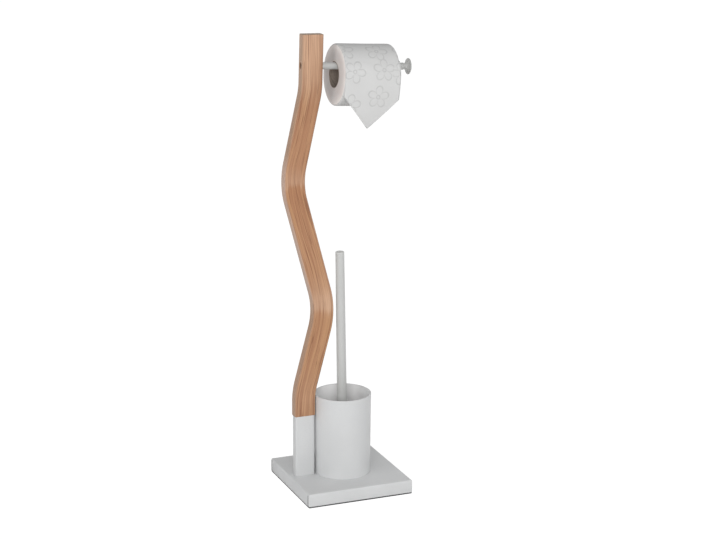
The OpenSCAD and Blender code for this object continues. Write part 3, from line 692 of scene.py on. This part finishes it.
class STAND_OT_upright(bpy.types.Operator):
    """Shape the wooden blank, drill it, and bend it along its middle line"""
    bl_idname = "stand.upright"
    bl_label = "Wooden Upright"

    def execute(self, context):
        parts, length = bend_blank()
        bm = block((0, 0, length / 2), (WOOD_W, WOOD_D, length))
        round_edges(bm, standing(bm), context.scene.stand_sizes.edge, 6)
        round_edges(bm, rims(bm), 1 * MM, 3)
        blank = dress("wood_upright_bent", bm, "wood_upright", "stand", "upright_wood",
                      bent_ash("bent wood", context.scene.stand_colours))
        # The rod's axis in the straight blank, whose top end it crosses a little out of square
        top = PATH[-1] - PATH[-2]
        crossing = length - (PATH[-1] - Vector((ROD.translation.x, 0, ROD.translation.z))).length
        axis = (Matrix.Translation((0, 0, crossing))
                @ Matrix.Rotation(ROD_TILT - math.atan2(top.x, top.z), 4, "Y") @ ALONG_X)
        # The screw's bore, the sunk seat of its head, and the rod's seat
        carve(blank, drill(-40 * MM, 80 * MM, 7 * MM, axis),
              drill(-30 * MM, 17.5 * MM, 11.2 * MM, axis, 64),
              drill(ROD_START, 20 * MM, 12.7 * MM, axis, 64))
        bm = bmesh.new()
        bm.from_mesh(blank.data)
        slice_height, drilled = 3.5 * MM, 12 * MM
        for number in range(1, int(length / slice_height)):
            z = number * slice_height
            if abs(z - crossing) > drilled:
                score(bm, (0, 0, z), (0, 0, 1))
        grain = bm.verts.layers.float_vector.new("grain")
        for vert in bm.verts:
            vert[grain] = vert.co
            vert.co = bent_point(parts, vert.co)
        bm.to_mesh(blank.data)
        bm.free()
        soften_edges(blank, 30)
        return {"FINISHED"}


class STAND_OT_rod(bpy.types.Operator):
    """Turn the roll's rod and its flared end knob"""
    bl_idname = "stand.rod"
    bl_label = "Rod and Knob"

    def execute(self, context):
        paint = painted("rod lacquer", context.scene.stand_colours.handle, 0.36)
        end, bore = ROD_START + ROD_LENGTH, 4.75 * MM
        bm = lathe([(ROD_R, ROD_START), (ROD_R, end), (bore, end), (bore, ROD_START)], 64,
                   [(1, 0.3 * MM, 3)], place=ROD @ ALONG_X)
        soften_edges(dress("roll_rod_tube", bm, "roll_rod", "stand", "rod_paint", paint))
        # The knob's spigot fits in the tube, and its neck flares to the disc. Rounded are the
        # edge of its collar and the two rims of the disc
        spigot, neck, disc, steps = 4.7 * MM, 5.5 * MM, 14.3 * MM, 14
        flare = [(neck + (disc - 2 * MM - neck) * (k / steps) ** 3, (2 + 8 * k / steps) * MM)
                 for k in range(steps + 1)]
        outline = [(0, -12 * MM), (spigot, -12 * MM), (spigot, 0), (ROD_R, 0), (ROD_R, 0.8 * MM),
                   *flare, (disc, 10 * MM), (disc, 12 * MM), (7 * MM, 12.45 * MM), (0, 12.6 * MM)]
        bm = lathe(outline, 96, [(4, 0.3 * MM, 3), (20, 0.95 * MM, 6), (21, 0.95 * MM, 6)],
                   closed=False, place=ROD @ Matrix.Translation((end, 0, 0)) @ ALONG_X)
        soften_edges(dress("rod_knob_turned", bm, "rod_knob", "stand", "rod_paint", paint), 50)
        return {"FINISHED"}


def note_local(bm):
    """Stores each point's coordinates in the roll's own frame, for its materials."""
    layer = bm.verts.layers.float_vector.new("local")
    back = ROLL.inverted()
    for vert in bm.verts:
        vert[layer] = back @ vert.co
    return layer


class STAND_OT_roll(bpy.types.Operator):
    """Wind the paper roll on its cardboard core"""
    bl_idname = "stand.roll"
    bl_label = "Paper Roll"

    def execute(self, context):
        colours, edge = context.scene.stand_colours, context.scene.stand_sizes.roll_edge
        bore, core_out, core_in = 23.25 * MM, 23.2 * MM, 22 * MM
        bm = lathe([(bore, 0), (ROLL_R, 0), (ROLL_R, ROLL_W), (bore, ROLL_W)], 180,
                   [(1, edge, 6), (2, edge, 6)])
        for number in range(1, 26):
            score(bm, (0, 0, number * 4 * MM), (0, 0, 1))
        # A wound roll is never quite round: its outer face has the softest dents and swells
        for vert in bm.verts:
            turn = math.atan2(vert.co.y, vert.co.x)
            out = math.hypot(vert.co.x, vert.co.y)
            if out > 50 * MM:
                swell = (math.sin(3 * turn + 1.3) * 0.10
                         + math.sin(7 * turn + vert.co.z * 60) * 0.06
                         + math.sin(vert.co.z * 90 + 2 * turn) * 0.07 - 0.12) * MM
                vert.co.xy *= (out + swell) / out
        bmesh.ops.transform(bm, matrix=ROLL @ ALONG_X, verts=bm.verts)
        layer = note_local(bm)
        flat = bm.loops.layers.uv.new("flat")
        to_local = ROLL.to_3x3().inverted()
        for face in bm.faces:
            face.material_index = int(abs((to_local @ face.normal).x) > 0.8)
            middle = sum((v[layer] for v in face.verts), Vector()) / len(face.verts)
            here = math.atan2(middle.z, -middle.y)
            for loop in face.loops:
                local = loop.vert[layer]
                turn = math.atan2(local.z, -local.y)
                turn += FULL_TURN * round((here - turn) / FULL_TURN)
                loop[flat].uv = (local.x, turn * ROLL_R)
        roll = dress("paper_roll_wound", bm, "paper_roll", "roll", "tissue",
                     tissue("tissue", colours.paper), wound_ends("wound ends", colours.paper))
        soften_edges(roll, 50)
        bm = lathe([(core_in, 0), (core_out, 0), (core_out, ROLL_W), (core_in, ROLL_W)], 96)
        bmesh.ops.transform(bm, matrix=ROLL @ ALONG_X, verts=bm.verts)
        note_local(bm)
        soften_edges(dress("cardboard_core_tube", bm, "cardboard_core", "roll", "core_card",
                           core_card("core cardboard", colours.card)))
        return {"FINISHED"}


# The loose paper laid out flat, from its left edge and down from the level of the roll's axis:
# a stretch of it lies on the roll above that, and its two lower corners are folded behind.
TAIL_W, TAIL_LEN, TAIL_WRAP = ROLL_W, 90 * MM, 33.1 * MM
TAIL_TIP = Vector((TAIL_W / 2, TAIL_LEN))
TAIL_FOLDS = (
    (Vector((0, 30 * MM)), TAIL_TIP, 1),
    (TAIL_TIP, Vector((TAIL_W, 35 * MM)), 2))


def folded(spot):
    """A flat spot after the corners are folded: its place on the front, and its layer's depth."""
    depth = 0.0
    for a, b, layer in TAIL_FOLDS:
        line = (b - a).normalized()
        inward = Vector((line.y, -line.x))
        beyond = -(spot - a).dot(inward)
        if beyond > 1e-9:
            # The crease is a tight round turn: half a turn of paper, then the flap lies behind
            crease = 0.45 * MM * layer
            bend = min(beyond / (crease * math.pi), 1)
            back = max(beyond - crease * math.pi, 0)
            spot = spot + inward * (beyond + back - crease * math.sin(bend * math.pi))
            depth = crease * (1 - math.cos(bend * math.pi)) + 0.055 * back * layer
            break
    return spot, depth


class STAND_OT_tail(bpy.types.Operator):
    """Hang the loose end of the paper, folded to a point"""
    bl_idname = "stand.tail"
    bl_label = "Loose Paper End"

    def execute(self, context):
        total = TAIL_LEN + TAIL_WRAP
        bm = bmesh.new()
        spread = (Matrix.Translation((TAIL_W / 2, TAIL_LEN - total / 2, 0))
                  @ Matrix.Diagonal((TAIL_W, total, 1, 1)))
        bmesh.ops.create_grid(bm, x_segments=34, y_segments=41, size=0.5, matrix=spread)
        for a, b, layer in TAIL_FOLDS:
            line = (b - a).normalized()
            normal = Vector((line.y, -line.x, 0))
            for step in range(5):
                score(bm, Vector((*a, 0)) - normal * step * 0.36 * MM * layer, normal)
        flat = bm.loops.layers.uv.new("flat")
        for face in bm.faces:
            for loop in face.loops:
                loop[flat].uv = (loop.vert.co.x, -loop.vert.co.y)
        # The paper's radius where it lies on the roll, and that of its curl where it hangs
        radius, curl = 54.55 * MM, 250 * MM
        for vert in bm.verts:
            spot, depth = folded(vert.co.xy)
            x, down = spot
            ease = math.sin(math.pi * x / TAIL_W * 1.5 + 0.5) * 0.7 * MM
            if down < 0:
                # The last stretch up the roll sinks into its outer layer, so no step shows there
                turn = -down / radius
                out = radius - depth - 0.9 * MM * max(0, (-down - 22 * MM) / (11 * MM)) ** 2
                place = Vector((x, -out * math.cos(turn), out * math.sin(turn)))
            else:
                turn = down / curl
                reach = curl - depth
                hanging = min(down / (60 * MM), 1) ** 2
                place = Vector((x, -radius + curl - reach * math.cos(turn) - ease * hanging,
                                -reach * math.sin(turn)))
            vert.co = ROLL @ place
        bmesh.ops.recalc_face_normals(bm, faces=bm.faces)
        paper = bpy.data.objects["paper_roll_wound"].data.materials[0]
        tail = dress("paper_tail_folded", bm, "paper_tail", "roll", "tissue", paper)
        thick = tail.modifiers.new("Thickness", "SOLIDIFY")
        thick.thickness, thick.offset = context.scene.stand_sizes.paper, 0
        return {"FINISHED"}


class STAND_OT_cup(bpy.types.Operator):
    """Spin the brush cup, with its rounded rim and raised floor"""
    bl_idname = "stand.cup"
    bl_label = "Brush Cup"

    def execute(self, context):
        colours = context.scene.stand_colours
        foot, rim, wall, height = 50.8 * MM, 51.9 * MM, 1.6 * MM, 149.5 * MM
        hollow, floor = 5 * MM, 7 * MM
        inner = foot - wall + (rim - foot) * floor / height
        outline = [(0, hollow), (foot - wall, hollow), (foot - wall, 0), (foot, 0), (rim, height),
                   (rim - wall, height), (inner, floor), (0, floor)]
        # Rounded are the foot, the lip and the corner of the floor inside
        lip = 0.79 * MM
        bm = lathe(outline, 144, [(3, 0.5 * MM, 3), (4, lip, 5), (5, lip, 5), (6, 6 * MM, 8)],
                   closed=False, place=CUP)
        # The inside from the floor to just under the rim is a paler copy of the lacquer: painted
        # light inside the cup
        for face in bm.faces:
            middle, out = face.calc_center_median() - CUP.translation, face.normal
            inside = out.x * middle.x + out.y * middle.y < 0 or out.z > 0.9
            face.material_index = int(inside and 6 * MM < middle.z < height - 0.7 * MM)
        cup = dress("brush_cup_spun", bm, "brush_cup", "cup", "cup_paint",
                    painted("cup lacquer", colours.paint, 0.42),
                    painted("cup lining", colours.painted_inside_light, 0.5))
        soften_edges(cup)
        return {"FINISHED"}


class STAND_OT_handle(bpy.types.Operator):
    """Turn the brush's tapered tube handle"""
    bl_idname = "stand.handle"
    bl_label = "Brush Handle"

    def execute(self, context):
        length, thin, thick, wall = 323.46 * MM, 7.9 * MM, 9.1 * MM, 1.2 * MM
        outline = [(thin, 0), (thick, 0), (thin, length), (0, length), (0, length - wall),
                   (thin - wall, length - wall)]
        bm = lathe(outline, 96, [(1, 0.3 * MM, 2), (2, 1.5 * MM, 6)],
                   place=BRUSH @ Matrix.Translation((0, 0, COLLAR_TOP)))
        handle = dress("brush_handle_tube", bm, "brush_handle", "brush", "handle_paint",
                       painted("handle lacquer", context.scene.stand_colours.handle, 0.34))
        soften_edges(handle)
        return {"FINISHED"}


# The head's skin: its radius, its wall, how far up it reaches, and the number of its tufts.
SKIN_R, SKIN_WALL, SKIN_TOP, TUFTS = 11.95 * MM, 1.4 * MM, 37.95 * MM, 384


def tuft_places(count):
    """Where the tufts stand on the head's skin: their polar angle, turn and rise."""
    pole, golden = math.radians(14), math.pi * (3 - math.sqrt(5))
    dome, barrel = SKIN_R * math.cos(pole), 34.2 * MM
    dome_share = dome / (dome + barrel)
    for k in range(count):
        share = (k + 0.5) / count
        on_dome = share < dome_share
        polar = math.acos(math.cos(pole) * (1 - share / dome_share)) if on_dome else math.pi / 2
        rise = 0 if on_dome else barrel * (share - dome_share) / (1 - dome_share)
        yield polar, k * golden, rise


class STAND_OT_bristles(bpy.types.Operator):
    """Plant the brush head's tufts of filaments"""
    bl_idname = "stand.bristles"
    bl_label = "Brush Bristles"

    def execute(self, context):
        sizes = context.scene.stand_sizes
        chance = random.Random(7)
        root, tip, around_r = 11.2 * MM, 36 * MM, 0.62 * MM
        inner = SKIN_R - SKIN_WALL
        bm = lathe([(0, -SKIN_R), (SKIN_R, -SKIN_R), (SKIN_R, SKIN_TOP), (inner, SKIN_TOP),
                    (inner, -inner), (0, -inner)], 48,
                   [(1, 11.94 * MM, 12), (4, 10.54 * MM, 10)], closed=False)
        tuft = bm.verts.layers.float.new("tuft")
        for vert in bm.verts:
            vert[tuft] = 0.5
        for polar, turn, rise in tuft_places(TUFTS):
            stand = (Matrix.Translation((0, 0, rise)) @ Matrix.Rotation(turn, 4, "Z")
                     @ Matrix.Rotation(math.pi - polar, 4, "Y"))
            tone = chance.random()
            for number in range(sizes.filaments):
                # A filament takes four draws, and its shape needs the first two
                spread, cut = [chance.random() for draw in range(4)][:2]
                around = number * FULL_TURN / (sizes.filaments - 1)
                out = 0 if number == 0 else around_r
                foot = Vector((out * math.cos(around), out * math.sin(around), root))
                splay = 1.0 + spread * 0.45
                head = Vector((foot.x * splay, foot.y * splay, tip - cut * 0.5 * MM))
                made = bmesh.ops.create_cone(
                    bm, cap_ends=True, cap_tris=False, segments=4, radius1=sizes.filament / 2,
                    radius2=sizes.filament * 0.4, depth=1)["verts"]
                for vert in made:
                    to = foot if vert.co.z < 0 else head
                    vert.co = stand @ (Vector((vert.co.x, vert.co.y, 0)) + to)
                    vert[tuft] = tone
        bmesh.ops.transform(bm, matrix=BRUSH @ Matrix.Translation((0, 0, DOME_Z)), verts=bm.verts)
        bristles = dress("brush_bristles_tufts", bm, "brush_bristles", "brush", "bristle_nylon",
                         nylon("bristle nylon"))
        soften_edges(bristles, 60)
        return {"FINISHED"}


class STAND_OT_fittings(bpy.types.Operator):
    """Finish the weight, the board and the hidden fittings"""
    bl_idname = "stand.fittings"
    bl_label = "Fittings"

    def execute(self, context):
        zinc = plated("zinc plate", (0.62, 0.63, 0.64), 0.32)
        white = moulded("white plastic", (0.72, 0.72, 0.7), 0.4)
        finishes = {
            "ballast_plate": cast("mill scale"),
            "bottom_board": layered_board("plywood"),
            "wood_inserts": plated("insert brass", (0.72, 0.52, 0.25), 0.34),
            "cup_locator": white, "brush_core": white, "tie_bolts": zinc, "tie_washers": zinc,
            "rod_screw": plated("blackened screw", (0.2, 0.17, 0.15), 0.45), "rod_washer": zinc,
            "rod_insert": zinc, "locator_screw": zinc, "locator_nut": zinc, "handle_plug": zinc}
        for name, material in finishes.items():
            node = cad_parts[name]
            node.data.materials.clear()
            node.data.materials.append(material)
        return {"FINISHED"}


def lay_floor():
    """A white floor that glows where it is seen, and only reflects light on the stand."""
    bm = bmesh.new()
    bmesh.ops.create_grid(bm, x_segments=1, y_segments=1, size=12)
    floor = add_object("studio_floor", bm)
    f = Finish("studio floor", Roughness=0.9, Specular_IOR_Level=0.0)
    f.set("Base Color", f.mix(f.noise(f.object(), 3, 2), (0.78, 0.78, 0.78), (0.8, 0.8, 0.8)))
    rays = f.node("LightPath").outputs
    seen = f.math("MAXIMUM", rays["Is Camera Ray"], f.math(
        "MAXIMUM", rays["Is Glossy Ray"], rays["Is Transmission Ray"]))
    glow = f.node("Emission", {"Color": (1, 1, 1), "Strength": FLOOR_GLOW}).outputs[0]
    blend = f.node("MixShader", {
        0: f.math("MULTIPLY", seen, FLOOR_SHARE), 1: f.shader.outputs[0], 2: glow}).outputs[0]
    f.tree.links.new(blend, f.tree.nodes["Material Output"].inputs[0])
    floor.data.materials.append(f.material)


def light_world(scene):
    """White surroundings, dimmer as a light than as they are seen."""
    world = bpy.data.worlds.new("studio")
    scene.world = world
    world.use_nodes = True
    nodes, links = world.node_tree.nodes, world.node_tree.links
    back = nodes["Background"]
    back.inputs["Color"].default_value = (1, 1, 1, 1)
    path, seen, level = (
        nodes.new("ShaderNode" + kind) for kind in ("LightPath", "Math", "MapRange"))
    seen.operation = "MAXIMUM"
    level.inputs["To Min"].default_value = WORLD_FILL
    level.inputs["To Max"].default_value = 1.0
    links.new(path.outputs["Is Camera Ray"], seen.inputs[0])
    links.new(path.outputs["Is Glossy Ray"], seen.inputs[1])
    links.new(seen.outputs[0], level.inputs["Value"])
    links.new(level.outputs[0], back.inputs["Strength"])


def hang_lamp(scene, name, place, size, watts):
    data = bpy.data.lights.new(name, "AREA")
    data.shape, data.energy = "RECTANGLE", watts
    data.size, data.size_y = size
    light = bpy.data.objects.new(name, data)
    light.location = place
    light.rotation_euler = (LAMP_AIM - Vector(place)).to_track_quat("-Z", "Y").to_euler()
    scene.collection.objects.link(light)


def place_camera(scene):
    camera = bpy.data.cameras.new("photo_camera")
    camera.sensor_width, camera.lens = CAMERA_SENSOR, CAMERA_LENS
    camera.clip_end = 50
    eye = bpy.data.objects.new("photo_camera", camera)
    turned = Matrix(CAMERA_AXES).transposed().to_4x4()
    eye.matrix_world = Matrix.Translation(CAMERA_PLACE) @ turned
    scene.collection.objects.link(eye)
    scene.camera = eye


class STAND_OT_stage(bpy.types.Operator):
    """Set the floor, the soft lamps and the camera"""
    bl_idname = "stand.stage"
    bl_label = "Studio Stage"

    def execute(self, context):
        scene = context.scene
        lay_floor()
        light_world(scene)
        for lamp in LAMPS:
            hang_lamp(scene, *lamp)
        place_camera(scene)
        scene.view_settings.view_transform = "Standard"
        return {"FINISHED"}


STEPS = (
    STAND_OT_base, STAND_OT_pad, STAND_OT_sleeve, STAND_OT_upright, STAND_OT_rod, STAND_OT_roll,
    STAND_OT_tail, STAND_OT_cup, STAND_OT_handle, STAND_OT_bristles, STAND_OT_fittings,
    STAND_OT_stage)


class STAND_PT_pieces(bpy.types.Panel):
    """Lists the pieces of the stand with their sizes and colours"""
    bl_idname = "STAND_PT_pieces"
    bl_label = "Toilet Butler Stand"
    bl_space_type = "VIEW_3D"
    bl_region_type = "UI"
    bl_category = "Stand"

    def draw(self, context):
        for group in (context.scene.stand_sizes, context.scene.stand_colours):
            for key in group.__annotations__:
                self.layout.prop(group, key)
        for step in STEPS:
            self.layout.operator(step.bl_idname)


CLASSES = (StandSizes, StandColours, *STEPS, STAND_PT_pieces)


def register():
    for cls in CLASSES:
        bpy.utils.register_class(cls)
    bpy.types.Scene.stand_sizes = PointerProperty(type=StandSizes)
    bpy.types.Scene.stand_colours = PointerProperty(type=StandColours)


def unregister():
    del bpy.types.Scene.stand_sizes
    del bpy.types.Scene.stand_colours
    for cls in reversed(CLASSES):
        bpy.utils.unregister_class(cls)


def main():
    register()
    for step in STEPS:
        group, name = step.bl_idname.split(".")
        getattr(getattr(bpy.ops, group), name)()


if __name__ == "__main__":
    main()
